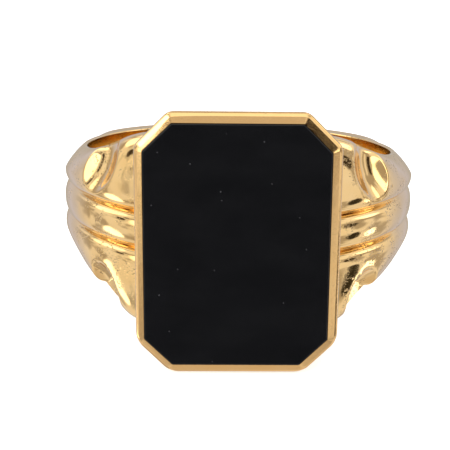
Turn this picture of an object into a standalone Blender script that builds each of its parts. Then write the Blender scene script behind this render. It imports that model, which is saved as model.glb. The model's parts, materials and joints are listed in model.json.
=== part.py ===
"""Signet ring: an onyx tablet in a cut-corner collet, carried by two fluted shoulders on a plain shank.

The ring is modelled about its finger hole. In that local frame X runs across the finger, +Z runs along the
finger and -Y is the direction the stone faces. An empty then leans the ring back into the way it lies on a
table, on the lower edge of its collet and the lower back edge of its shank: +Z up, stone towards -Y,
origin under the middle of the bounding box.
"""

import math

import bmesh
import bpy

MM = 0.001

HOLE_RADIUS = 9.9 * MM

# Angles round the band are in degrees from its widest point, positive towards the stone: -90 is the palm
PALM = -90.0
SHOULDER_START = -30.0
SHOULDER_END = 68.0  # runs into the collet, which trims it
SHANK_STEP = 4.0
SHOULDER_STEP = 3.5
FLARE_START = 30.0
FLARE_STEP = 1.9

# Sizes in millimetres that change round the band, as (angle, value) stations of a smooth curve
HALF_WIDTH = (
    (-90.0, 2.3),
    (-60.0, 2.4),
    (-45.0, 2.47),
    (-27.0, 2.64),
    (-8.0, 2.88),
    (5.0, 3.12),
    (20.0, 3.52),
    (30.0, 3.92),
    (38.0, 4.38),
    (46.0, 4.98),
    (52.0, 5.4),
    (58.0, 5.66),
    (70.0, 5.85),
)
CREST_RADIUS = (
    (-90.0, 11.2),
    (-60.0, 11.3),
    (-40.0, 11.4),
    (-10.0, 11.42),
    (15.0, 11.36),
    (40.0, 11.36),
    (70.0, 11.38),
)
FLUTE_DEPTH = (
    (-90.0, 0.0),
    (-34.0, 0.0),
    (-20.0, 0.12),
    (-5.0, 0.28),
    (10.0, 0.33),
    (25.0, 0.4),
    (40.0, 0.54),
    (60.0, 0.64),
    (70.0, 0.64),
)
FLUTE_HEIGHT = ((-90.0, 1.02), (0.0, 1.03), (30.0, 1.09), (60.0, 1.14), (70.0, 1.14))
OUTER_CREST = ((-90.0, 1.5), (-30.0, 1.5), (0.0, 1.65), (30.0, 2.12), (45.0, 2.1), (70.0, 2.1))

# How boxy the flank's curve is, and how narrow the flutes are: both are powers, in the same kind of stations
FLANK_FULLNESS = (
    (-90.0, 6.0),
    (-42.0, 5.6),
    (-24.0, 1.6),
    (-8.0, 1.05),
    (8.0, 1.25),
    (22.0, 1.4),
    (36.0, 2.2),
    (48.0, 2.4),
    (54.0, 3.2),
    (70.0, 3.5),
)
FLUTE_SHARPNESS = ((-90.0, 2.2), (0.0, 2.4), (15.0, 3.5), (30.0, 5.5), (48.0, 7.5), (70.0, 8.0))
RIB_ROUNDNESS = 0.34  # the share of the flute's depth that is the ribs' own round backs
SIDE_LAND = 0.36 * MM
BAND_CROWN = 0.1 * MM
RIB_STEPS = 6
FLANK_STEPS = 11

# Gouged scoops between the outer ribs and the cheeks beside the collet, in degrees and millimetres:
# angle, height, lean, half length, half width, depth
RIGHT_SCOOPS = ((44.6, 3.5, 36.0, 2.1, 1.4, 0.66), (43.8, -4.15, -16.0, 1.65, 1.0, 0.8))
LEFT_SCOOPS = ((41.4, 3.45, 40.0, 2.1, 1.35, 0.64), (43.4, -4.15, -16.0, 1.65, 1.0, 0.8))

# Collet, measured outward from the middle of the finger hole
LIP_LEVEL = 12.5 * MM
GIRDLE_LEVEL = 12.0 * MM
TABLE_LEVEL = 12.56 * MM
SEAT_LEVEL = 11.25 * MM
LOFT_FLOOR = 7.0 * MM
COLLET_HALF_WIDTH = 5.86 * MM
COLLET_HALF_LENGTH = 7.77 * MM
COLLET_CHAMFER = 1.96 * MM
COLLET_CORNER_RADIUS = 0.8 * MM
COLLET_TAPER = math.tan(math.radians(15.0))
COLLET_WALL = 0.26 * MM
STONE_INSET = 0.48 * MM
TABLE_INSET = 0.66 * MM
LIP_INSET = 0.60 * MM
BEARING_WIDTH = 0.45 * MM
PLATE_THICKNESS = 0.7 * MM
WINDOW_HALF_WIDTH = 2.7 * MM
WINDOW_HALF_LENGTH = 4.7 * MM
WINDOW_CHAMFER = 1.1 * MM

# Small radii and clearances of the soldered and set pieces
SOLDER_GAP = 0.03 * MM
FIT_GAP = 0.02 * MM
INNER_CORNER_RADIUS = 0.12 * MM
STONE_CORNER_RADIUS = 0.1 * MM
WINDOW_CORNER_RADIUS = 0.5 * MM
# The rubbed-over rim, as (inset, height above the girdle) of its rounded outer edge
RIM_ROUNDING = ((0.07 * MM, 0.2 * MM), (0.2 * MM, 0.34 * MM))
RIM_UNDERSIDE = 0.06 * MM  # above the girdle, where the rim bears on the stone's bevel

CYLINDER_SIDES = 160
CUTTER_LENGTH = 40.0 * MM
CUTTER_LEVELS = (5.0 * MM, 14.0 * MM)  # past both ends of the collet

GOLD = (0.83, 0.56, 0.24, 1.0)
SHANK_GOLD = (0.80, 0.53, 0.22, 1.0)
ONYX = (0.012, 0.012, 0.014, 1.0)


def clear_scene():
    for leftover in list(bpy.data.objects):
        bpy.data.objects.remove(leftover)


def new_collection(name):
    collection = bpy.data.collections.new(name)
    bpy.context.scene.collection.children.link(collection)
    return collection


def new_material(name, colour, roughness, metallic):
    material = bpy.data.materials.new(name)
    material.use_nodes = True
    shader = material.node_tree.nodes["Principled BSDF"]
    shader.inputs["Base Color"].default_value = colour
    shader.inputs["Roughness"].default_value = roughness
    shader.inputs["Metallic"].default_value = metallic
    material.diffuse_color = colour
    return material


def object_from(name, body, collection, material=None):
    """A mesh object made from a bmesh, shaded smooth except at its creases."""
    bmesh.ops.recalc_face_normals(body, faces=body.faces)
    mesh = bpy.data.meshes.new(name)
    body.to_mesh(mesh)
    body.free()
    mesh.shade_smooth()
    mesh.set_sharp_from_angle(angle=math.radians(35.0))
    made = bpy.data.objects.new(name, mesh)
    collection.objects.link(made)
    if material:
        mesh.materials.append(material)
    return made


def loft(sections, closed):
    """A body through sections with equally many points: a ring when closed, capped at both ends when not."""
    body = bmesh.new()
    rings = [[body.verts.new(point) for point in section] for section in sections]
    pairs = list(zip(rings, rings[1:]))
    if closed:
        pairs.append((rings[-1], rings[0]))
    for ring, following in pairs:
        for i in range(len(ring)):
            j = (i + 1) % len(ring)
            body.faces.new((ring[i], ring[j], following[j], following[i]))
    if not closed:
        body.faces.new(rings[0])
        body.faces.new(reversed(rings[-1]))
    return body


# ---- band: shoulders and shank -------------------------------------------------------------------------


def slope_at(stations, i):
    """The slope a smooth curve takes at its station i: the weighted mean of the slopes on either side."""
    if i in (0, len(stations) - 1):
        first = min(i, len(stations) - 2)
        (start, low), (end, high) = stations[first : first + 2]
        return (high - low) / (end - start)
    (start, low), (middle, value), (end, high) = stations[i - 1 : i + 2]
    before = (value - low) / (middle - start)
    after = (high - value) / (end - middle)
    return (before * (end - middle) + after * (middle - start)) / (end - start)


def around(stations, angle):
    """The value at this angle of the smooth curve through (angle, value) stations."""
    i = 0
    while i < len(stations) - 2 and angle > stations[i + 1][0]:
        i += 1
    (start, low), (end, high) = stations[i : i + 2]
    span = end - start
    share = (angle - start) / span
    rise = share * share * (3.0 - 2.0 * share)
    value = low * (1.0 - rise) + high * rise
    value += slope_at(stations, i) * span * share * (1.0 - share) ** 2
    return value - slope_at(stations, i + 1) * span * share**2 * (1.0 - share)


def scoop_depth(angle, height, scoop):
    """How deep a gouge is at a point of the outer surface, 0 outside its leaning oval."""
    middle, level, lean, half_length, half_width, depth = scoop
    lean = math.radians(lean)
    along = math.radians(angle - middle) * around(CREST_RADIUS, angle)
    up = height / MM - level
    long_way = up * math.cos(lean) + along * math.sin(lean)
    short_way = along * math.cos(lean) - up * math.sin(lean)
    spread = (long_way / half_length) ** 2 + (short_way / half_width) ** 2
    return depth * MM * max(0.0, 1.0 - spread)


def fallen(share, sharpness):
    """How far a rib has fallen towards a flute, where share is 0 on its crest and 1 at the flute."""
    return RIB_ROUNDNESS * share**2 + (1.0 - RIB_ROUNDNESS) * share**sharpness


def half_profile(angle, sign=1, scoops=()):
    """(height along the finger, radius) from the middle crest to the hole's edge; sign -1 is the lower half."""
    crest = around(CREST_RADIUS, angle) * MM
    width = around(HALF_WIDTH, angle) * MM
    flute = around(FLUTE_HEIGHT, angle) * MM
    depth = around(FLUTE_DEPTH, angle) * MM
    outer_crest = around(OUTER_CREST, angle) * MM
    sharpness = around(FLUTE_SHARPNESS, angle)
    power = 2.0 / around(FLANK_FULLNESS, angle)
    edge_radius = HOLE_RADIUS + SIDE_LAND
    points = []
    for i in range(RIB_STEPS):
        share = math.sin(math.pi / 2.0 * i / RIB_STEPS)
        points.append((flute * share, crest - depth * fallen(share, sharpness)))
    for i in range(RIB_STEPS):
        share = 1.0 - math.cos(math.pi / 2.0 * i / RIB_STEPS)
        height = flute + (outer_crest - flute) * share
        points.append((height, crest - depth * fallen(1.0 - share, sharpness)))
    for i in range(FLANK_STEPS + 1):
        turn = math.radians(90.0 * i / FLANK_STEPS)
        across = math.sin(turn) ** power
        drop = math.cos(turn) ** power if i < FLANK_STEPS else 0.0
        height = outer_crest + (width - outer_crest) * across
        points.append((height, edge_radius + (crest - edge_radius) * drop))
    shaped = []
    for height, radius in points:
        radius -= BAND_CROWN * (height / width) ** 2
        for scoop in scoops:
            radius -= scoop_depth(angle, sign * height, scoop)
        shaped.append((height, max(radius, edge_radius - BAND_CROWN)))
    shaped.append((width, HOLE_RADIUS))
    return shaped


def band_section(angle, side, scoops=()):
    """One closed cross-section in the radial plane at this angle; side is +1 for right and -1 for left."""
    upper = half_profile(angle, 1, scoops)
    lower = half_profile(angle, -1, scoops)
    outline = [(-height, radius) for height, radius in reversed(lower[1:])] + upper
    width = upper[-1][0]
    outline += [(width * share, HOLE_RADIUS) for share in (0.5, 0.0, -0.5)]
    turn = math.radians(angle)
    return [
        (side * radius * math.cos(turn), -radius * math.sin(turn), height)
        for height, radius in outline
    ]


def angles(start, end, step):
    count = max(1, round(abs(end - start) / step))
    return [start + (end - start) * i / count for i in range(count + 1)]


def make_shoulder(name, side, scoops, collection, material, cutter):
    stations = angles(SHOULDER_START, FLARE_START, SHOULDER_STEP)[:-1]
    stations += angles(FLARE_START, SHOULDER_END, FLARE_STEP)
    body = loft([band_section(angle, side, scoops) for angle in stations], closed=False)
    shoulder = object_from(name, body, collection, material)
    subtract(shoulder, cutter)
    return shoulder


def shank_stations():
    """From the palm to just short of a shoulder."""
    gap = math.degrees(SOLDER_GAP / HOLE_RADIUS)
    return angles(PALM, SHOULDER_START - gap, SHANK_STEP)


def make_shank(name, collection, material):
    """The palm-side band, from one shoulder's end round the back to the other's."""
    right = [band_section(angle, 1) for angle in reversed(shank_stations())]
    left = [band_section(angle, -1) for angle in shank_stations()[1:]]
    return object_from(name, loft(right + left, closed=False), collection, material)


# ---- collet, its lining and the stone --------------------------------------------------------------------


def cut_corner_outline(inset, level, radius):
    """The collet's cut-corner rectangle, set in by an even margin, with its eight corners rounded."""
    reach_x = COLLET_HALF_WIDTH - inset
    reach_z = COLLET_HALF_LENGTH - inset
    chamfer = COLLET_CHAMFER - inset * (2.0 - math.sqrt(2.0))
    return rounded_octagon(reach_x, reach_z, chamfer, radius, level)


def rounded_octagon(reach_x, reach_z, chamfer, radius, level):
    """A rectangle with 45-degree corners in a plane facing -Y; each of its corners is a short arc."""
    corners = [
        (reach_x, reach_z - chamfer),
        (reach_x - chamfer, reach_z),
        (chamfer - reach_x, reach_z),
        (-reach_x, reach_z - chamfer),
        (-reach_x, chamfer - reach_z),
        (chamfer - reach_x, -reach_z),
        (reach_x - chamfer, -reach_z),
        (reach_x, chamfer - reach_z),
    ]
    half_turn = math.radians(22.5)
    outline = []
    for i, (x, z) in enumerate(corners):
        inward = math.pi + half_turn * (1 + 2 * i)
        reach = radius / math.cos(half_turn)
        centre_x = x + reach * math.cos(inward)
        centre_z = z + reach * math.sin(inward)
        for share in (-1.0, -1.0 / 3.0, 1.0 / 3.0, 1.0):
            turn = inward + math.pi + half_turn * share
            outline.append((centre_x + radius * math.cos(turn), -level, centre_z + radius * math.sin(turn)))
    return outline


def taper_inset(level):
    return (GIRDLE_LEVEL - level) * COLLET_TAPER


def wall_inset(level):
    """How far in the collet's inner face is, below the ledge the stone drops past."""
    return taper_inset(level) + COLLET_WALL


def make_collet_cutter(collection):
    """The collet's outside, with the solder gap added, which trims the shoulders."""
    body = loft(
        [
            cut_corner_outline(taper_inset(level) - SOLDER_GAP, level, COLLET_CORNER_RADIUS)
            for level in CUTTER_LEVELS
        ],
        closed=False,
    )
    return as_cutter(object_from("collet_cutter", body, collection))


def make_cylinder_cutter(name, radius, collection):
    body = bmesh.new()
    bmesh.ops.create_cone(
        body, cap_ends=True, segments=CYLINDER_SIDES, radius1=radius, radius2=radius, depth=CUTTER_LENGTH
    )
    return as_cutter(object_from(name, body, collection))


def make_window_cutter(collection):
    body = loft(
        [
            rounded_octagon(
                WINDOW_HALF_WIDTH, WINDOW_HALF_LENGTH, WINDOW_CHAMFER, WINDOW_CORNER_RADIUS, level
            )
            for level in CUTTER_LEVELS
        ],
        closed=False,
    )
    return as_cutter(object_from("window_cutter", body, collection))


def as_cutter(made):
    made.hide_render = True
    made.display_type = "WIRE"
    return made


def boolean(made, other, operation):
    modifier = made.modifiers.new(f"{operation.title()} {other.name}", "BOOLEAN")
    modifier.operation = operation
    modifier.solver = "EXACT"
    modifier.object = other


def subtract(made, cutter):
    boolean(made, cutter, "DIFFERENCE")


def make_bezel_wall(collection, material, saddle_cutter):
    """The collet strip: tapered outside, rubbed over the stone at the top, saddle-cut to the base plate."""
    outer = COLLET_CORNER_RADIUS
    inner = INNER_CORNER_RADIUS
    recess = STONE_INSET - FIT_GAP
    sections = [
        cut_corner_outline(taper_inset(LOFT_FLOOR), LOFT_FLOOR, outer),
        cut_corner_outline(0.0, GIRDLE_LEVEL, outer),
    ]
    for inset, height in RIM_ROUNDING:
        sections.append(cut_corner_outline(inset, GIRDLE_LEVEL + height, outer - inset))
    sections += [
        cut_corner_outline(LIP_INSET, LIP_LEVEL, inner),
        cut_corner_outline(recess, GIRDLE_LEVEL + RIM_UNDERSIDE, inner),
        cut_corner_outline(recess, SEAT_LEVEL - FIT_GAP, inner),
        cut_corner_outline(wall_inset(LOFT_FLOOR), LOFT_FLOOR, inner),
    ]
    wall = object_from("bezel_wall", loft(sections, closed=True), collection, material)
    subtract(wall, saddle_cutter)
    return wall


def make_bearing_strip(collection, material, saddle_cutter):
    """The strip lining the collet, whose top edge is the seat of the stone."""
    top = SEAT_LEVEL - SOLDER_GAP
    sections = [
        cut_corner_outline(wall_inset(LOFT_FLOOR) + FIT_GAP, LOFT_FLOOR, INNER_CORNER_RADIUS),
        cut_corner_outline(wall_inset(top) + FIT_GAP, top, INNER_CORNER_RADIUS),
        cut_corner_outline(wall_inset(top) + BEARING_WIDTH, top, INNER_CORNER_RADIUS),
        cut_corner_outline(wall_inset(LOFT_FLOOR) + BEARING_WIDTH, LOFT_FLOOR, INNER_CORNER_RADIUS),
    ]
    strip = object_from("bearing_strip", loft(sections, closed=True), collection, material)
    subtract(strip, saddle_cutter)
    return strip


def make_onyx_tablet(collection, material):
    """A flat cut-corner tablet with a bevelled edge for the collet's lip to hold."""
    sections = [
        cut_corner_outline(STONE_INSET, SEAT_LEVEL, STONE_CORNER_RADIUS),
        cut_corner_outline(STONE_INSET, GIRDLE_LEVEL + RIM_UNDERSIDE - FIT_GAP, STONE_CORNER_RADIUS),
        cut_corner_outline(TABLE_INSET, TABLE_LEVEL, STONE_CORNER_RADIUS),
    ]
    return object_from("onyx_tablet", loft(sections, closed=False), collection, material)


def make_base_plate(collection, material, plate_cutter, hole_cutter, window_cutter):
    """The curved plate between the shoulders, under the collet, with an opening behind the stone."""
    levels = (LOFT_FLOOR, LIP_LEVEL)
    body = loft(
        [cut_corner_outline(taper_inset(level), level, COLLET_CORNER_RADIUS) for level in levels],
        closed=False,
    )
    plate = object_from("base_plate", body, collection, material)
    boolean(plate, plate_cutter, "INTERSECT")
    subtract(plate, hole_cutter)
    subtract(plate, window_cutter)
    return plate


# ---- stance on the table ----------------------------------------------------------------------------------


def resting_lean():
    """The lean at which a table touches both the collet's lower edge and the shank's lower back edge."""
    back_edge = [
        (height, -radius * math.sin(math.radians(angle)))
        for angle in shank_stations()
        for height, radius in half_profile(angle)
    ]
    lean = 0.0
    for _ in range(40):
        height, reach = max(
            back_edge, key=lambda point: point[0] * math.cos(lean) + point[1] * math.sin(lean)
        )
        lean = math.atan2(COLLET_HALF_LENGTH - height, GIRDLE_LEVEL + reach)
    return lean


def lay_on_table(parts, collection):
    """Parents every part to an empty that leans the ring and centres it over the origin."""
    lean = resting_lean()
    stance = bpy.data.objects.new("resting_stance", None)
    stance.empty_display_size = 12.0 * MM
    stance.rotation_euler = (-lean, 0.0, 0.0)
    collection.objects.link(stance)
    back = max(
        radius * math.cos(lean) + height * math.sin(lean) for height, radius in half_profile(PALM)
    )
    front = TABLE_LEVEL * math.cos(lean) + (COLLET_HALF_LENGTH - TABLE_INSET) * math.sin(lean)
    rise = COLLET_HALF_LENGTH * math.cos(lean) - GIRDLE_LEVEL * math.sin(lean)
    stance.location = (0.0, (front - back) / 2.0, rise)
    for part in parts:
        part.parent = stance


def main():
    clear_scene()
    ring = new_collection("signet_ring")
    cutters = new_collection("cutters")
    gold = new_material("polished_gold", GOLD, 0.12, 1.0)
    shank_gold = new_material("worn_gold", SHANK_GOLD, 0.2, 1.0)
    onyx = new_material("black_onyx", ONYX, 0.08, 0.0)

    collet_cutter = make_collet_cutter(cutters)
    plate_cutter = make_cylinder_cutter("plate_cutter", HOLE_RADIUS + PLATE_THICKNESS, cutters)
    saddle_cutter = make_cylinder_cutter(
        "saddle_cutter", HOLE_RADIUS + PLATE_THICKNESS + SOLDER_GAP, cutters
    )
    hole_cutter = make_cylinder_cutter("hole_cutter", HOLE_RADIUS, cutters)
    window_cutter = make_window_cutter(cutters)

    parts = [
        make_shoulder("right_shoulder", 1, RIGHT_SCOOPS, ring, gold, collet_cutter),
        make_shoulder("left_shoulder", -1, LEFT_SCOOPS, ring, gold, collet_cutter),
        make_shank("shank", ring, shank_gold),
        make_base_plate(ring, gold, plate_cutter, hole_cutter, window_cutter),
        make_bezel_wall(ring, gold, saddle_cutter),
        make_bearing_strip(ring, gold, saddle_cutter),
        make_onyx_tablet(ring, onyx),
    ]
    lay_on_table(parts + list(cutters.objects), ring)


main()
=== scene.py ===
"""Looks of the signet ring: polished gold band and collet, black onyx, white studio.

Lengths are in millimetres until a mesh is made. The ring's own frame has X across the finger, N along the
way the stone faces and A along the finger; a stance matrix read from the record takes it to the world.
"""

import json
import math

import bmesh
import bpy
import numpy as np
from mathutils import Matrix, Vector


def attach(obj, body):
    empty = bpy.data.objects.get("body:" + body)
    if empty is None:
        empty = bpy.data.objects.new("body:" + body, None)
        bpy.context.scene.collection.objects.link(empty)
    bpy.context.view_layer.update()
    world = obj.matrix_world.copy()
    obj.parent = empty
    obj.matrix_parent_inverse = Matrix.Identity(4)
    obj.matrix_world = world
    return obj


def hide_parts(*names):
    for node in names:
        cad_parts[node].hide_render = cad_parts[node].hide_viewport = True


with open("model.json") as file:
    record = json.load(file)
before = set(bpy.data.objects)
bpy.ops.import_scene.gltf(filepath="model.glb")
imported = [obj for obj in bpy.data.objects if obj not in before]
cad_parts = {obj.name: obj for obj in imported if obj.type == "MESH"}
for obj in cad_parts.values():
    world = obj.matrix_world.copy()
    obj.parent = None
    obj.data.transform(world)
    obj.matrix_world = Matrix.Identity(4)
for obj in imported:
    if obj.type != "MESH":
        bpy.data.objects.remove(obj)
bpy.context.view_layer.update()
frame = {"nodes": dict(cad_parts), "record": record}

MM = 0.001
RECORD = frame["record"]
MOUNTS = {mount["name"]: mount for mount in RECORD["mounts"]}
HOLE_CENTRE = Vector(MOUNTS["finger_hole"]["pos_m"])
HOLE_AXIS = Vector(MOUNTS["finger_hole"]["axis"]).normalized()
LEAN = math.atan2(HOLE_AXIS.y, HOLE_AXIS.z)
STANCE = Matrix.Translation(HOLE_CENTRE) @ Matrix.Rotation(-LEAN, 4, "X") @ Matrix.Scale(MM, 4)

# ---- sizes ---------------------------------------------------------------------------------------------

HOLE_RADIUS = 9.9

# Sizes round the band, as (degrees from its widest point towards the stone, value): -90 is the palm
HALF_WIDTH = (
    (-90, 2.3),
    (-60, 2.4),
    (-45, 2.47),
    (-27, 2.64),
    (-8, 2.88),
    (5, 3.12),
    (20, 3.52),
    (30, 3.92),
    (38, 4.38),
    (46, 4.98),
    (52, 5.46),
    (58, 5.76),
    (70, 5.9),
)
CREST_RADIUS = (
    (-90, 11.2),
    (-60, 11.3),
    (-40, 11.4),
    (-10, 11.42),
    (15, 11.36),
    (40, 11.36),
    (60, 11.38),
)
FLUTE_DEPTH = (
    (-90, 0.0),
    (-34, 0.0),
    (-20, 0.12),
    (-5, 0.28),
    (10, 0.33),
    (25, 0.4),
    (40, 0.54),
    (60, 0.64),
)
FLUTE_HEIGHT = ((-90, 1.02), (0, 1.03), (30, 1.09), (60, 1.14))
OUTER_CREST = ((-90, 1.5), (-30, 1.5), (0, 1.65), (30, 2.12), (45, 2.1), (60, 2.1))

# How boxy the flank's curve is, and how narrow the flutes are: both are powers, in the same stations
FLANK_FULLNESS = (
    (-90, 6.0),
    (-42, 5.6),
    (-24, 1.6),
    (-8, 1.05),
    (8, 1.25),
    (22, 1.4),
    (36, 2.2),
    (48, 2.4),
    (54, 3.2),
    (60, 3.5),
)
FLUTE_SHARPNESS = ((-90, 2.2), (0, 2.4), (15, 3.5), (30, 5.5), (48, 7.5), (60, 8.0))
RIB_ROUNDNESS = 0.34  # the share of the flute's depth that is the ribs' own round backs
SIDE_LAND = 0.36
BAND_CROWN = 0.1
FLUTE_ROUNDING = 0.03
EDGE_ROUNDING = 0.09
PALM = -90.0
SHOULDER_START = -30.0
SHOULDER_END = 60.0  # where the collet trims it
SHOULDER_ROWS = 230
SHANK_ROWS = 61
BAND_ROLL = math.radians(0.7)  # the setting sits very slightly turned on the band

# Scoops gouged beside the collet: (angle, height, lean, half length, half width, depth)
SCOOPS = {
    "right": ((44.6, 3.5, 36.0, 2.1, 1.4, 0.66), (45.4, -4.4, -14.0, 1.85, 1.45, 1.2)),
    "left": ((41.4, 3.45, 40.0, 2.1, 1.35, 0.64), (42.8, -4.4, -14.0, 1.8, 1.35, 1.0)),
}
SCOOP_EDGE_ROUNDING = 0.03

# How much each (upper, lower) half of the band is wider than drawn, uneven from filing by hand
FILED_WIDTH = {
    "right": (
        ((-90, 0.0), (-60, 0.05), (-30, 0.08), (0, 0.05), (30, 0.0), (60, 0.0)),
        ((-90, 0.0), (0, 0.0), (20, -0.02), (32, -0.14), (42, -0.18), (50, 0.02), (60, 0.08)),
    ),
    "left": (
        ((-90, 0.0), (-60, 0.1), (-30, 0.16), (0, 0.12), (30, 0.03), (60, 0.0)),
        ((-90, 0.0), (-20, 0.0), (0, 0.14), (15, 0.2), (30, 0.12), (45, 0.24), (52, 0.26), (60, 0.14)),
    ),
}

# The collet and the stone: levels are from the hole's centre, insets from the collet's outside
LIP_LEVEL = 12.5
GIRDLE_LEVEL = 12.0
TABLE_LEVEL = 12.56
SEAT_LEVEL = 11.25
COLLET_HALF_WIDTH = 5.86
COLLET_HALF_LENGTH = 7.77
COLLET_CHAMFER = 1.96
COLLET_TAPER = math.tan(math.radians(15.0))
COLLET_WALL = 0.26
SADDLE_RADIUS = 10.62
STONE_INSET = 0.48
TABLE_INSET = 0.66
LIP_INSET = 0.60
STONE_GAP = 0.01
WALL_SINK = 0.1  # how far the band's ends run into the wall
CORNER_START = 5.4  # the height above which they follow the wall's cut corners
OUTER_CORNER = 0.8
INNER_CORNER = 0.12
STONE_CORNER = 0.1

# The hand work on the collet
LEFT_THINNING = 0.1
LOWER_RIGHT_RISE = 0.1
LOWER_ROUNDING = 0.6  # the corners nearest the table are filed rounder
BROAD_SPOT = (-4.86, 6.37)  # where the rim was pressed down broadest, its upper left corner
BROAD_REACH = 1.7
RIM_SLOPE = 0.42

# ---- materials -----------------------------------------------------------------------------------------


# The mix node's colour sockets, which share their names with its sockets of other kinds
MIX_FIRST = 6
MIX_SECOND = 7
MIX_RESULT = 2


def set_input(tree, socket, value):
    """Links a socket to another one, or gives it a value."""
    if isinstance(value, bpy.types.NodeSocket):
        tree.links.new(value, socket)
    else:
        socket.default_value = value


def add_node(tree, kind, inputs=None, **settings):
    node = tree.nodes.new(kind)
    for key, value in settings.items():
        setattr(node, key, value)
    for key, value in (inputs or {}).items():
        set_input(tree, node.inputs[key], value)
    return node


def mix_colours(tree, factor, first, second):
    """The first colour, covered by the second where factor is 1."""
    inputs = {"Factor": factor, MIX_FIRST: first, MIX_SECOND: second}
    return add_node(tree, "ShaderNodeMix", inputs, data_type="RGBA").outputs[MIX_RESULT]


class Nodes:
    """Adds nodes to a material's tree and links them."""

    def __init__(self, name, unit=1.0):
        self.unit = unit
        self.material = bpy.data.materials.new(name)
        self.material.use_nodes = True
        self.tree = self.material.node_tree
        self.shader = self.tree.nodes["Principled BSDF"]

    def add(self, kind, inputs=None, **settings):
        return add_node(self.tree, kind, inputs, **settings)

    def set(self, socket, value):
        set_input(self.tree, socket, value)

    def place(self, scale, turn=(0.0, 0.0, 0.0)):
        """Object coordinates in millimetres, stretched by scale."""
        coordinates = self.add("ShaderNodeTexCoord").outputs["Object"]
        scale = tuple(value / self.unit for value in scale)
        mapping = self.add("ShaderNodeMapping", {"Vector": coordinates, "Scale": scale, "Rotation": turn})
        return mapping.outputs["Vector"]

    def noise(self, scale, detail=3.0, stretch=(1.0, 1.0, 1.0), turn=(0.0, 0.0, 0.0), roughness=0.5):
        vector = self.place(stretch, turn)
        node = self.add(
            "ShaderNodeTexNoise",
            {"Vector": vector, "Scale": scale, "Detail": detail, "Roughness": roughness},
        )
        return node.outputs["Fac"]

    def spread(self, value, low, high, to_low=0.0, to_high=1.0, smooth=False):
        node = self.add(
            "ShaderNodeMapRange",
            {"Value": value, "From Min": low, "From Max": high, "To Min": to_low, "To Max": to_high},
        )
        if smooth:
            node.interpolation_type = "SMOOTHSTEP"
        return node.outputs["Result"]

    def math(self, operation, first, second=0.0):
        node = self.add("ShaderNodeMath", {0: first, 1: second}, operation=operation)
        return node.outputs["Value"]

    def mix(self, factor, first, second):
        return mix_colours(self.tree, factor, first, second)

    def bump(self, height, strength, distance, normal=None):
        node = self.add(
            "ShaderNodeBump",
            {"Height": height, "Strength": strength, "Distance": distance * MM},
        )
        if normal is not None:
            self.set(node.inputs["Normal"], normal)
        return node.outputs["Normal"]


def gold(name, colour, deep, roughness, scratch, pits, waviness, unit=1.0):
    """Polished gold: slow colour drift, painted shade deepening the colour in crevices, hazy patches,
    hairline scratches, clusters of casting pits, waves.

    unit is how many of the object's own units make a millimetre.
    """
    nodes = Nodes(name, unit)
    shader = nodes.shader
    shader.inputs["Metallic"].default_value = 1.0
    # colour: a slow drift, and painted shade that makes it deeper in crevices
    drift = nodes.spread(nodes.noise(0.55, 2.0), 0.3, 0.7)
    painted_crevice_shade = nodes.spread(nodes.add("ShaderNodeNewGeometry").outputs["Pointiness"], 0.41, 0.49, 1.0, 0.0)
    tone = nodes.mix(nodes.math("MULTIPLY", drift, 0.45), colour, deep)
    # painted shade: the colour turns deeper where the surface curves inward
    tone = nodes.mix(nodes.math("MULTIPLY", painted_crevice_shade, 0.4), tone, deep)
    # roughness: hazy patches and two families of hairline scratches
    haze = nodes.spread(nodes.noise(2.3, 4.0), 0.35, 0.75, roughness * 0.6, roughness * 1.5)
    hairs = nodes.noise(9.0, 5.0, stretch=(1.0, 9.0, 1.3), turn=(0.3, 0.2, 0.5))
    hairs_across = nodes.noise(11.0, 5.0, stretch=(1.4, 1.0, 8.0), turn=(-0.5, 0.4, 0.1))
    scratches = nodes.math("MAXIMUM", hairs, hairs_across)
    dulled = nodes.spread(scratches, 0.6, 0.72, 0.0, 0.06)
    nodes.set(shader.inputs["Roughness"], nodes.math("ADD", haze, dulled))
    # shape: long and short waves of the polishing, then the scratches
    normal = nodes.bump(nodes.noise(0.75, 1.5), 1.0, waviness)
    normal = nodes.bump(nodes.noise(2.4, 1.0), 1.0, waviness * 0.08, normal)
    normal = nodes.bump(nodes.spread(scratches, 0.58, 0.7), scratch, 0.004, normal)
    # casting pits in clusters, with grime in them
    clusters = nodes.spread(nodes.noise(0.8, 1.0, turn=(0.4, 1.1, 0.2)), 0.52, 0.6)
    specks = nodes.spread(nodes.noise(6.0, 2.0, stretch=(1.0, 1.0, 1.8), roughness=0.55), 0.58, 0.63)
    marks = nodes.math("MULTIPLY", clusters, specks)
    normal = nodes.bump(marks, pits, -0.03, normal)
    grime = nodes.mix(nodes.math("MULTIPLY", marks, pits), tone, (0.16, 0.09, 0.03, 1.0))
    nodes.set(shader.inputs["Base Color"], grime)
    nodes.set(shader.inputs["Normal"], normal)
    return nodes.material


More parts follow.
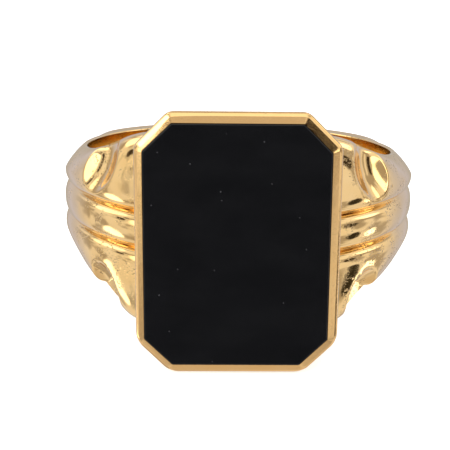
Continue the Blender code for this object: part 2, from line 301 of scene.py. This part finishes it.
def onyx(name):
    """Black onyx with a high polish, faint banding, hairline scratches and specks of dust."""
    nodes = Nodes(name)
    shader = nodes.shader
    shader.inputs["IOR"].default_value = 1.54
    bands = nodes.spread(nodes.noise(0.35, 3.0, stretch=(1.0, 1.0, 2.2)), 0.35, 0.65)
    body = nodes.mix(bands, (0.0042, 0.0044, 0.0052, 1.0), (0.0062, 0.0064, 0.0074, 1.0))
    grains = nodes.add("ShaderNodeTexVoronoi", {"Vector": nodes.place((1.0, 1.0, 1.0)), "Scale": 1.1})
    dust = nodes.spread(grains.outputs["Distance"], 0.035, 0.055, 1.0, 0.0)
    nodes.set(
        shader.inputs["Base Color"],
        nodes.mix(nodes.math("MULTIPLY", dust, 0.5), body, (0.12, 0.12, 0.13, 1.0)),
    )
    hairs = nodes.noise(7.0, 6.0, stretch=(9.0, 1.0, 0.8), turn=(0.0, 0.6, 0.0))
    scuffs = nodes.spread(hairs, 0.62, 0.7, 0.0, 0.12)
    haze = nodes.spread(nodes.noise(1.2, 3.0), 0.3, 0.7, 0.05, 0.09)
    nodes.set(shader.inputs["Roughness"], nodes.math("ADD", haze, scuffs))
    lines = nodes.spread(hairs, 0.62, 0.68)
    nodes.set(shader.inputs["Normal"], nodes.bump(lines, 0.12, -0.003))
    return nodes.material


SHOULDER_GOLD = gold(
    "polished_gold",
    colour=(0.97, 0.69, 0.34, 1.0),
    deep=(0.92, 0.57, 0.18, 1.0),
    roughness=0.035,
    scratch=0.06,
    pits=0.65,
    waviness=0.022,
)
RIM_GOLD = gold(
    "rim_gold",
    colour=(0.94, 0.62, 0.28, 1.0),
    deep=(0.9, 0.55, 0.2, 1.0),
    roughness=0.08,
    scratch=0.2,
    pits=0.06,
    waviness=0.01,
)
INNER_GOLD = gold(
    "inner_gold",
    colour=(0.97, 0.7, 0.3, 1.0),
    deep=(0.96, 0.65, 0.23, 1.0),
    roughness=0.12,
    scratch=0.2,
    pits=0.1,
    waviness=0.01,
)
SEAT_GOLD = gold(
    "seat_gold",
    colour=(0.92, 0.6, 0.24, 1.0),
    deep=(0.86, 0.5, 0.14, 1.0),
    roughness=0.22,
    scratch=0.2,
    pits=0.1,
    waviness=0.01,
    unit=MM,
)
ONYX = onyx("black_onyx")

# ---- band ----------------------------------------------------------------------------------------------


def around(stations, angle):
    """The value at each angle of a smooth curve through (angle, value) stations."""
    places, values = np.array(stations, float).T
    slopes = np.gradient(values, places)
    low = np.clip(np.searchsorted(places, angle) - 1, 0, len(places) - 2)
    span = places[low + 1] - places[low]
    share = np.clip((angle - places[low]) / span, 0.0, 1.0)
    rise = share * share * (3.0 - 2.0 * share)
    curve = values[low] * (1.0 - rise) + values[low + 1] * rise
    curve += slopes[low] * span * share * (1.0 - share) ** 2
    return curve - slopes[low + 1] * span * share**2 * (1.0 - share)


# The points of half a section, from the middle crest outward: half the middle rib, the inner side of the
# outer rib, the flank and the edge of the finger hole
QUARTER_TURN = math.pi / 2.0
RIB_T = np.sin(np.linspace(0.0, QUARTER_TURN, 13))[:-1]
OUTER_T = 1.0 - np.cos(np.linspace(0.0, QUARTER_TURN, 15))[:-1]
FLANK_T = np.linspace(0.0, QUARTER_TURN, 30)
EDGE_T = np.linspace(0.0, QUARTER_TURN, 6)
COLUMNS = len(RIB_T) + len(OUTER_T) + len(FLANK_T) + len(EDGE_T)
HOLE_POINTS = 9  # between the hole's two edges
HOLE_COLUMNS = range(COLUMNS - 1, COLUMNS + HOLE_POINTS)


def scoop_depth(angle, height, scoop):
    """How deep a gouge is at points of the outside, falling off crisply at the edge of its leaning oval."""
    middle, level, lean, half_length, half_width, depth = scoop
    lean = math.radians(lean)
    along = np.radians(angle - middle) * around(CREST_RADIUS, angle)
    up = height - level
    long_way = up * math.cos(lean) + along * math.sin(lean)
    short_way = along * math.cos(lean) - up * math.sin(lean)
    inside = 1.0 - (long_way / half_length) ** 2 - (short_way / half_width) ** 2
    return depth * 0.5 * (inside + np.sqrt(inside**2 + SCOOP_EDGE_ROUNDING**2))


def half_surface(angle, sign, scoops, filed):
    """(height, radius) over the upper (sign 1) or lower half of the band, one column per point."""
    crest = around(CREST_RADIUS, angle)
    width = around(HALF_WIDTH, angle) + around(filed[0 if sign > 0.0 else 1], angle)
    flute = around(FLUTE_HEIGHT, angle)
    depth = around(FLUTE_DEPTH, angle)
    outer = around(OUTER_CREST, angle)
    sharp = around(FLUTE_SHARPNESS, angle)
    power = 2.0 / around(FLANK_FULLNESS, angle)
    edge = HOLE_RADIUS + SIDE_LAND
    height = np.zeros_like(angle)
    radius = np.zeros_like(angle)

    def sunk(part, away, span):
        """How far the ribs have fallen towards a flute: gently, then steeply to a rounded bottom."""
        gap = np.sqrt((away * span) ** 2 + FLUTE_ROUNDING**2) - FLUTE_ROUNDING
        share = np.clip(1.0 - gap / span, 0.0, 1.0)
        fall = RIB_ROUNDNESS * share**2 + (1.0 - RIB_ROUNDNESS) * share ** sharp[:, part]
        return depth[:, part] * fall

    first = 0
    last = len(RIB_T)
    part = slice(first, last)
    height[:, part] = flute[:, part] * RIB_T
    radius[:, part] = crest[:, part] - sunk(part, 1.0 - RIB_T, flute[:, part])
    first, last = last, last + len(OUTER_T)
    part = slice(first, last)
    span = outer[:, part] - flute[:, part]
    height[:, part] = flute[:, part] + span * OUTER_T
    radius[:, part] = crest[:, part] - sunk(part, OUTER_T, span)
    first, last = last, last + len(FLANK_T)
    part = slice(first, last)
    across = np.sin(FLANK_T) ** power[:, part]
    drop = np.maximum(np.cos(FLANK_T), 0.0) ** power[:, part]
    height[:, part] = outer[:, part] + (width[:, part] - outer[:, part]) * across
    radius[:, part] = edge + (crest[:, part] - edge) * drop
    part = slice(0, last)
    radius[:, part] -= BAND_CROWN * (height[:, part] / width[:, part]) ** 2
    for scoop in scoops:
        radius[:, part] -= scoop_depth(angle[:, part], sign * height[:, part], scoop)
    radius[:, part] = np.maximum(radius[:, part], edge - BAND_CROWN)
    part = slice(last, COLUMNS)
    height[:, part] = width[:, part] - EDGE_ROUNDING * (1.0 - np.cos(EDGE_T))
    radius[:, part] = HOLE_RADIUS + EDGE_ROUNDING * (1.0 - np.sin(EDGE_T))
    return height, radius


def wall_angle(height, radius):
    """The angle at which a point of the band meets the collet's tapered wall, a little way into it."""
    reach = COLLET_HALF_WIDTH - WALL_SINK - GIRDLE_LEVEL * COLLET_TAPER
    reach -= np.maximum(np.abs(height) - CORNER_START, 0.0)
    slope = math.atan(COLLET_TAPER)
    return np.degrees(np.arccos(reach / (radius * math.sqrt(1.0 + COLLET_TAPER**2))) - slope)


WALL_STEPS = 6  # rounds of closing in on the wall, whose angle depends on the section that meets it


def section_grid(angle, ends_on_wall, filed, scoops=()):
    """Closed sections (rows) of the band, from the crest up, over the hole and back; with their angles."""
    share = (angle - angle[0]) / (angle[-1] - angle[0])
    grids = []
    for sign in (1.0, -1.0):
        turned = np.repeat(angle[:, None], COLUMNS, axis=1)
        for _ in range(WALL_STEPS):
            height, radius = half_surface(turned, sign, scoops, filed)
            if not ends_on_wall:
                break
            end = wall_angle(height, radius)
            turned = angle[0] + (end - angle[0]) * share[:, None]
        grids.append((turned, sign * height, radius))
    upper, lower = grids
    spans = np.linspace(0.0, 1.0, HOLE_POINTS + 2)[1:-1]
    blend = [
        up[:, -1:] * (1.0 - spans) + down[:, -1:] * spans
        for up, down in zip(upper, lower)
    ]
    return [
        np.hstack([up, middle, down[:, :0:-1]])
        for up, middle, down in zip(upper, blend, lower)
    ]


def band_points(turned, height, radius, side):
    """Points of the ring's frame, with the band's slight turn under the setting."""
    angle = np.radians(turned)
    across = side * radius * np.cos(angle)
    return np.stack(
        [
            across * math.cos(BAND_ROLL) + height * math.sin(BAND_ROLL),
            -radius * np.sin(angle),
            height * math.cos(BAND_ROLL) - across * math.sin(BAND_ROLL),
        ],
        axis=-1,
    )


CREASE_ANGLE = math.radians(40.0)


def piece(name, grid, materials, closed_rows=False, inner=()):
    """A mesh object from a grid of points: each row is a loop, and columns in inner take material 1.

    The last row joins the first with closed_rows, and otherwise both end rows are capped.
    """
    rows, columns = grid.shape[:2]
    mesh = bpy.data.meshes.new(name)
    faces = []
    kinds = []
    for i in range(rows if closed_rows else rows - 1):
        near = i * columns
        far = (i + 1) % rows * columns
        for j in range(columns):
            following = (j + 1) % columns
            faces.append((near + j, near + following, far + following, far + j))
            kinds.append(1 if j in inner else 0)
    if not closed_rows:
        faces.append(tuple(range(columns)))
        faces.append(tuple(range((rows - 1) * columns, rows * columns))[::-1])
        kinds += [0, 0]
    mesh.from_pydata(grid.reshape(-1, 3).tolist(), [], faces)
    mesh.polygons.foreach_set("material_index", kinds)
    for material in materials:
        mesh.materials.append(material)
    body = bmesh.new()
    body.from_mesh(mesh)
    bmesh.ops.recalc_face_normals(body, faces=body.faces)
    body.to_mesh(mesh)
    body.free()
    mesh.shade_smooth()
    mesh.set_sharp_from_angle(angle=CREASE_ANGLE)
    made = bpy.data.objects.new(name, mesh)
    bpy.context.scene.collection.objects.link(made)
    made.matrix_world = STANCE
    return made


def finish_piece(made, node):
    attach(made, "root")
    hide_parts(node)


BAND_GOLDS = [SHOULDER_GOLD, INNER_GOLD]

angles = np.linspace(SHOULDER_START, SHOULDER_END, SHOULDER_ROWS)
for label, side in (("right", 1.0), ("left", -1.0)):
    grid = band_points(*section_grid(angles, True, FILED_WIDTH[label], SCOOPS[label]), side)
    shoulder = piece(f"{label}_shoulder_fluted", grid, BAND_GOLDS, inner=HOLE_COLUMNS)
    finish_piece(shoulder, f"{label}_shoulder")

angles = np.linspace(SHOULDER_START, PALM, SHANK_ROWS)
right_half = band_points(*section_grid(angles, False, FILED_WIDTH["right"]), 1.0)
left_half = band_points(*section_grid(angles, False, FILED_WIDTH["left"]), -1.0)[-2::-1]
shank = piece("shank_band", np.concatenate([right_half, left_half]), BAND_GOLDS, inner=HOLE_COLUMNS)
finish_piece(shank, "shank")

# ---- collet and stone ----------------------------------------------------------------------------------

SIDE_STEPS = 22
CORNER_STEPS = 7
SADDLE_STEPS = 4


def cut_corner_outline(inset, radius):
    """(x, a) round the collet's cut-corner rectangle, set in by an even margin, always as many points."""
    reach_x = COLLET_HALF_WIDTH - inset
    reach_a = COLLET_HALF_LENGTH - inset
    chamfer = COLLET_CHAMFER - inset * (2.0 - math.sqrt(2.0))
    corners = [
        (reach_x, reach_a - chamfer),
        (reach_x - chamfer, reach_a),
        (chamfer - reach_x, reach_a),
        (-reach_x, reach_a - chamfer),
        (-reach_x, chamfer - reach_a),
        (chamfer - reach_x, -reach_a),
        (reach_x - chamfer, -reach_a),
        (reach_x, chamfer - reach_a),
    ]
    half_turn = math.radians(22.5)
    lower_radius = radius + LOWER_ROUNDING * min(radius / OUTER_CORNER, 1.0) ** 2
    arcs = []
    for i, (x, a) in enumerate(corners):
        inward = math.pi + half_turn * (1 + 2 * i)
        bend = radius if a > 0.0 else lower_radius
        reach = bend / math.cos(half_turn)
        turn = inward + math.pi + half_turn * np.linspace(-1.0, 1.0, CORNER_STEPS)
        arc_x = x + reach * math.cos(inward) + bend * np.cos(turn)
        arc_a = a + reach * math.sin(inward) + bend * np.sin(turn)
        arcs.append(np.stack([arc_x, arc_a], axis=1))
    points = []
    for arc, following in zip(arcs, arcs[1:] + arcs[:1]):
        points.append(arc)
        steps = np.linspace(0.0, 1.0, SIDE_STEPS + 1)[1:-1, None]
        points.append(arc[-1] * (1.0 - steps) + following[0] * steps)
    return np.vstack(points)


def hand_cut(outline, inner):
    """The outline with the unevenness of hand work: a raised lower right, and a rim thinner on the left."""
    x, a = outline.T
    lower = np.clip(-a / COLLET_HALF_LENGTH, 0.0, 1.0)
    a = a + LOWER_RIGHT_RISE * (x / COLLET_HALF_WIDTH + 1.0) / 2.0 * lower
    if inner:
        x = x - LEFT_THINNING * np.clip(-x / COLLET_HALF_WIDTH, 0.0, 1.0)
    return np.stack([x, a], axis=1)


def ring_of(inset, level, radius, broadening=0.0):
    """A level ring of points; broadening moves it inward round BROAD_SPOT, up the rim's slope."""
    outline = cut_corner_outline(inset, radius)
    levels = np.full(len(outline), float(level))
    if broadening:
        away = np.hypot(outline[:, 0] - BROAD_SPOT[0], outline[:, 1] - BROAD_SPOT[1])
        moved = broadening * np.exp(-((away / BROAD_REACH) ** 2))
        outline = np.stack([cut_corner_outline(inset + step, radius)[i] for i, step in enumerate(moved)])
        levels += moved * RIM_SLOPE
    outline = hand_cut(outline, inset > STONE_INSET)
    return np.stack([outline[:, 0], -levels, outline[:, 1]], axis=1)


def saddle_ring(wall, radius):
    """The tapered wall's lower edge on the curved base plate, set in from its outside by wall."""
    outline = cut_corner_outline(0.5 + wall, radius)  # a first guess, closed in on below
    for _ in range(SADDLE_STEPS):
        level = np.sqrt(SADDLE_RADIUS**2 - outline[:, 0] ** 2)
        inset = (GIRDLE_LEVEL - level) * COLLET_TAPER + wall
        outline = np.stack([cut_corner_outline(value, radius)[i] for i, value in enumerate(inset)])
    level = np.sqrt(SADDLE_RADIUS**2 - outline[:, 0] ** 2)
    outline = hand_cut(outline, False)
    return np.stack([outline[:, 0], -level, outline[:, 1]], axis=1)


# The rim from the girdle to the lip, as (inset, height above the girdle, corner radius, broadening)
RUBBED_RIM = (
    (0.0, 0.0, OUTER_CORNER, 0.0),
    (0.008, 0.09, 0.78, 0.0),
    (0.03, 0.17, 0.74, 0.0),
    (0.066, 0.232, 0.7, 0.0),
    (0.09, 0.257, 0.66, 0.0),
    (0.185, 0.324, 0.54, 0.13),
    (0.2, 0.335, 0.5, 0.13),
    (0.215, 0.343, 0.48, 0.13),
)
# The lip's rounded top, as (distance before LIP_INSET, depth under LIP_LEVEL, corner radius)
ROUNDED_LIP = (
    (0.055, 0.015, 0.16),
    (0.045, 0.01, 0.14),
    (0.02, 0.0, INNER_CORNER),
    (0.004, 0.012, 0.11),
    (0.0, 0.04, 0.11),
)
RIM_UNDERSIDE = 0.06  # above the girdle, where the rim bears on the stone's bevel

rings = [saddle_ring(0.0, OUTER_CORNER)]
for inset, height, radius, broadening in RUBBED_RIM:
    rings.append(ring_of(inset, GIRDLE_LEVEL + height, radius, broadening))
for before, depth, radius in ROUNDED_LIP:
    rings.append(ring_of(LIP_INSET - before, LIP_LEVEL - depth, radius))
for level in (GIRDLE_LEVEL + RIM_UNDERSIDE, SEAT_LEVEL):
    rings.append(ring_of(STONE_INSET - STONE_GAP, level, INNER_CORNER))
rings.append(saddle_ring(COLLET_WALL, INNER_CORNER))
collet = piece("collet_rubbed_rim", np.stack(rings), [RIM_GOLD], closed_rows=True)
finish_piece(collet, "bezel_wall")

# The stone's outside from its seat up, as (inset, level); the last ring keeps the table's shading flat
TABLET_RINGS = (
    (STONE_INSET, SEAT_LEVEL),
    (STONE_INSET, GIRDLE_LEVEL + 0.04),
    (TABLE_INSET - 0.022, TABLE_LEVEL - 0.022),
    (TABLE_INSET - 0.012, TABLE_LEVEL - 0.005),
    (TABLE_INSET, TABLE_LEVEL),
    (TABLE_INSET + 0.02, TABLE_LEVEL),
)
rings = [ring_of(inset, level, STONE_CORNER) for inset, level in TABLET_RINGS]
stone = piece("onyx_polished", np.stack(rings), [ONYX])
finish_piece(stone, "onyx_tablet")

for node in ("base_plate", "bearing_strip"):
    carried = frame["nodes"][node]
    carried.data.materials.clear()
    carried.data.materials.append(SEAT_GOLD)

# ---- floor, light and camera ---------------------------------------------------------------------------

scene = bpy.context.scene
scene.view_settings.view_transform = "Standard"

FLOOR_SIZE = 1.2
BACKDROP_RADIUS = 0.59
BACKDROP_HEIGHT = 0.8


def white_paper(name, glow):
    """Faintly grained white paper that also glows, so it photographs as plain white."""
    nodes = Nodes(name, unit=MM)
    grain = nodes.spread(nodes.noise(0.04, 2.0), 0.3, 0.7)
    nodes.set(
        nodes.shader.inputs["Base Color"],
        nodes.mix(grain, (0.93, 0.93, 0.93, 1.0), (0.95, 0.95, 0.95, 1.0)),
    )
    nodes.shader.inputs["Roughness"].default_value = 0.9
    nodes.shader.inputs["Emission Color"].default_value = (1.0, 1.0, 1.0, 1.0)
    nodes.shader.inputs["Emission Strength"].default_value = glow
    return nodes.material


bpy.ops.mesh.primitive_plane_add(size=FLOOR_SIZE)
floor = bpy.context.object
floor.name = "studio_floor"
floor.data.materials.append(white_paper("floor_white", 0.6))
floor.visible_glossy = False

bpy.ops.mesh.primitive_cylinder_add(
    vertices=96, radius=BACKDROP_RADIUS, depth=BACKDROP_HEIGHT, end_fill_type="NOTHING"
)
backdrop = bpy.context.object
backdrop.name = "studio_backdrop"
backdrop.location.z = BACKDROP_HEIGHT / 2.0
backdrop.data.shade_smooth()
backdrop.data.materials.append(white_paper("backdrop_white", 1.0))
for ray in ("diffuse", "glossy", "transmission", "shadow"):
    setattr(backdrop, f"visible_{ray}", False)

world = bpy.data.worlds.new("studio")
scene.world = world
world.use_nodes = True
tree = world.node_tree
background = tree.nodes["Background"]
DIRECTION = add_node(tree, "ShaderNodeTexCoord").outputs["Generated"]

# The lamps, screens and dark gaps of the studio, as (azimuth, elevation, half angle, soft edge, colour):
# azimuth is 0 in front of the stone (-Y) and positive to the right; a later patch covers an earlier one
PATCHES = (
    # cool walls behind the ring, and the dimmer table edge between them
    (-155, -16, 32, 14, (0.6, 0.64, 0.86)),
    (152, -18, 32, 14, (0.59, 0.63, 0.84)),
    (180, -28, 28, 8, (0.5, 0.485, 0.47)),
    # overhead light, with duller sheets in front of it and below the stone
    (0, 84, 26, 8, (1.35, 1.33, 1.28)),
    (0, 45, 17, 4, (0.66, 0.62, 0.6)),
    (0, -58, 22, 6, (0.66, 0.6, 0.55)),
    # lamps and their small reflectors, left and then right
    (-57, 11, 15, 3, (2.3, 2.3, 2.0)),
    (-67, 40, 12, 2, (3.6, 3.6, 3.5)),
    (-107, 25, 14, 3, (1.9, 1.9, 1.75)),
    (-142, 38, 8, 2, (2.4, 2.4, 2.3)),
    (-88, -28, 8, 1.5, (2.4, 2.4, 2.3)),
    (61, 14, 9, 2, (2.2, 2.2, 2.0)),
    (105, 22, 10, 2, (2.0, 2.0, 1.9)),
    (93, -24, 5, 1, (2.6, 2.6, 2.5)),
    # the dark room behind the camera, and dark gaps between the screens
    (0, -3, 18, 5, (0.05, 0.05, 0.055)),
    (40, 31, 11, 2, (0.03, 0.02, 0.012)),
    (77, 4, 5.5, 0.7, (0.05, 0.04, 0.03)),
    (78, -20, 6, 0.7, (0.04, 0.035, 0.025)),
    (-82, 8, 4.2, 0.7, (0.06, 0.05, 0.04)),
    (-81, 18, 2.8, 0.7, (0.06, 0.05, 0.04)),
)


def aimed(azimuth, elevation):
    """The unit vector in a direction given in degrees."""
    turn = math.radians(azimuth)
    rise = math.radians(elevation)
    return (math.sin(turn) * math.cos(rise), -math.cos(turn) * math.cos(rise), math.sin(rise))


def patch(azimuth, elevation, half_angle, edge):
    """1 inside a round patch of the surroundings, 0 outside, soft over edge degrees."""
    closeness = add_node(
        tree,
        "ShaderNodeVectorMath",
        {0: DIRECTION, 1: aimed(azimuth, elevation)},
        operation="DOT_PRODUCT",
    )
    inputs = {
        "Value": closeness.outputs["Value"],
        "From Min": math.cos(math.radians(half_angle + edge)),
        "From Max": math.cos(math.radians(half_angle - edge)),
    }
    return add_node(tree, "ShaderNodeMapRange", inputs, interpolation_type="SMOOTHSTEP").outputs["Result"]


# A white tent that brightens upward, with grey folds
upward = add_node(tree, "ShaderNodeSeparateXYZ", {"Vector": DIRECTION}).outputs["Z"]
tent = add_node(tree, "ShaderNodeMapRange", {"Value": upward, "From Min": -0.35, "From Max": 0.6})
surroundings = mix_colours(tree, tent.outputs["Result"], (0.86, 0.84, 0.84, 1.0), (1.02, 1.01, 1.0, 1.0))
cloth = add_node(tree, "ShaderNodeTexNoise", {"Vector": DIRECTION, "Scale": 3.2, "Detail": 2.0})
folds = add_node(
    tree,
    "ShaderNodeMapRange",
    {"Value": cloth.outputs["Fac"], "From Min": 0.46, "From Max": 0.58},
    interpolation_type="SMOOTHSTEP",
)
surroundings = mix_colours(tree, folds.outputs["Result"], surroundings, (0.45, 0.42, 0.4, 1.0))
for azimuth, elevation, half_angle, edge, colour in PATCHES:
    covered = patch(azimuth, elevation, half_angle, edge)
    surroundings = mix_colours(tree, covered, surroundings, (*colour, 1.0))
tree.links.new(surroundings, background.inputs["Color"])
background.inputs["Strength"].default_value = 1.0

# The camera looks at the ring from above its face's normal; the hole's centre is off its aim, right and up
LENS = 96.04
SENSOR = 36.0
VIEW_DISTANCE = 80.0 * MM
ABOVE_FACE = math.radians(14.9)
ROLL = math.radians(0.52)
CENTRE_OFF_AIM = (0.833 * MM, 2.2424 * MM)

elevation = LEAN + ABOVE_FACE
towards_camera = Vector((0.0, -math.cos(elevation), math.sin(elevation)))
camera_up = Vector((0.0, math.sin(elevation), math.cos(elevation)))
camera_right = Vector((1.0, 0.0, 0.0))
position = HOLE_CENTRE + towards_camera * VIEW_DISTANCE
aim = HOLE_CENTRE - camera_right * CENTRE_OFF_AIM[0] - camera_up * CENTRE_OFF_AIM[1]
forward = (aim - position).normalized()
right = forward.cross(camera_up).normalized()
up = right.cross(forward)
right, up = (
    right * math.cos(ROLL) + up * math.sin(ROLL),
    up * math.cos(ROLL) - right * math.sin(ROLL),
)
camera_data = bpy.data.cameras.new("photo_camera")
camera_data.sensor_width = SENSOR
camera_data.lens = LENS
camera_data.clip_start = MM
camera_data.clip_end = 10.0
camera = bpy.data.objects.new("photo_camera", camera_data)
scene.collection.objects.link(camera)
camera.matrix_world = Matrix(
    (
        (right.x, up.x, -forward.x, position.x),
        (right.y, up.y, -forward.y, position.y),
        (right.z, up.z, -forward.z, position.z),
        (0.0, 0.0, 0.0, 1.0),
    )
)
scene.camera = camera

bpy.context.view_layer.update()
